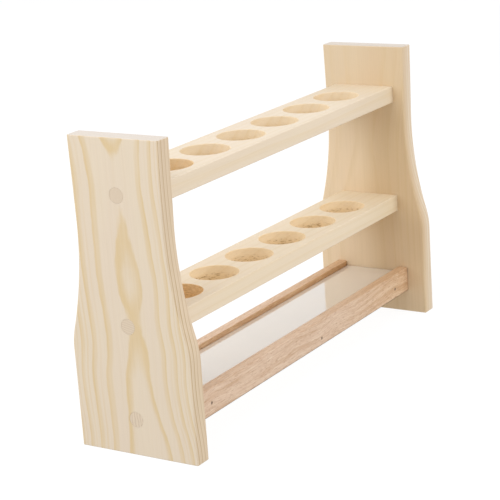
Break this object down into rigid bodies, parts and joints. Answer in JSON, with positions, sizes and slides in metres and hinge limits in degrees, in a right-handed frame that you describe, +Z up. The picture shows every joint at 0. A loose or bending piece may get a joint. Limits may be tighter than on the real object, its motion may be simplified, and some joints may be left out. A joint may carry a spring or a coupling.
{
  "type": "paint rack",
  "caption": "Free-standing wooden rack: waisted end boards, two shelves with in-line holes for tubes or bottles, and a low tray holding a loose white plate.",
  "frame": {"origin": "middle of the footprint, on the surface the rack stands on", "axes": "+X along the rack, towards the right end board seen from the front; -Y the front; +Z up"},
  "size_m": [0.32, 0.087, 0.2],
  "materials": {
    "pine_board": "satin",
    "pine_shelf": "satin",
    "hardwood_strip": "satin",
    "white_plate": "gloss",
    "wood_plug": "satin",
    "screw_steel": "satin",
    "nail_steel": "satin"
  },
  "bodies": {
    "rack": {"left_end_board": "pine_board", "right_end_board": "pine_board", "upper_shelf": "pine_shelf", "lower_shelf": "pine_shelf", "base_board": "pine_shelf", "front_strip": "hardwood_strip", "rear_strip": "hardwood_strip", "left_upper_plug": "wood_plug", "left_middle_plug": "wood_plug", "left_lower_plug": "wood_plug", "right_upper_plug": "wood_plug", "right_middle_plug": "wood_plug", "right_lower_plug": "wood_plug", "left_upper_screw": "screw_steel", "left_middle_screw": "screw_steel", "left_lower_screw": "screw_steel", "right_upper_screw": "screw_steel", "right_middle_screw": "screw_steel", "right_lower_screw": "screw_steel", "front_nail_1": "nail_steel", "front_nail_2": "nail_steel", "front_nail_3": "nail_steel", "rear_nail_1": "nail_steel", "rear_nail_2": "nail_steel", "rear_nail_3": "nail_steel"},
    "plate": {"white_plate": "white_plate"}
  },
  "joints": [
    {"name": "plate_lift", "type": "slide", "parent": "rack", "child": "plate", "axis": [0, 0, 1], "range_m": [0, 0.045]}
  ]
}
